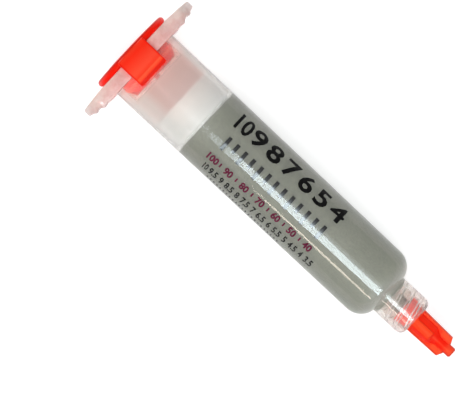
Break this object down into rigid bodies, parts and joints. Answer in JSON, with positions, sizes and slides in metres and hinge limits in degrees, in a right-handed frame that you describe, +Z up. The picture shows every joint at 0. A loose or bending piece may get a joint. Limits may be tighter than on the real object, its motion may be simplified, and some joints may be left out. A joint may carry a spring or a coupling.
{
  "type": "solder paste syringe",
  "caption": "Filled dispensing syringe lying down: clear barrel with finger flange and lock collar, white piston, grey solder paste, orange-red end cap and tip cap.",
  "frame": {"origin": "on the surface it lies on, under the middle of its length", "axes": "+X along the syringe's axis towards the nozzle, +Y along a finger wing, +Z up; it lies on the lower tab of the end cap"},
  "size_m": [0.1042, 0.0354, 0.022],
  "materials": {
    "clear_plastic": "gloss",
    "white_plastic": "satin",
    "solder_paste": "satin",
    "red_plastic": "satin",
    "black_ink": "satin",
    "magenta_ink": "satin"
  },
  "bodies": {
    "barrel": {"barrel": "clear_plastic", "paste": "solder_paste"},
    "piston": {"piston": "white_plastic"},
    "end_cap": {"end_cap": "red_plastic"},
    "tip_cap": {"tip_cap": "red_plastic"}
  },
  "joints": [
    {"name": "piston_travel", "type": "slide", "parent": "barrel", "child": "piston", "axis": [1, 0, 0], "range_m": [0, 0.055], "deforming": ["paste"]},
    {"name": "end_cap_pull", "type": "slide", "parent": "barrel", "child": "end_cap", "axis": [-1, 0, 0], "range_m": [0, 0.016]},
    {"name": "tip_cap_pull", "type": "slide", "parent": "barrel", "child": "tip_cap", "axis": [1, 0, 0], "range_m": [0, 0.012]}
  ]
}
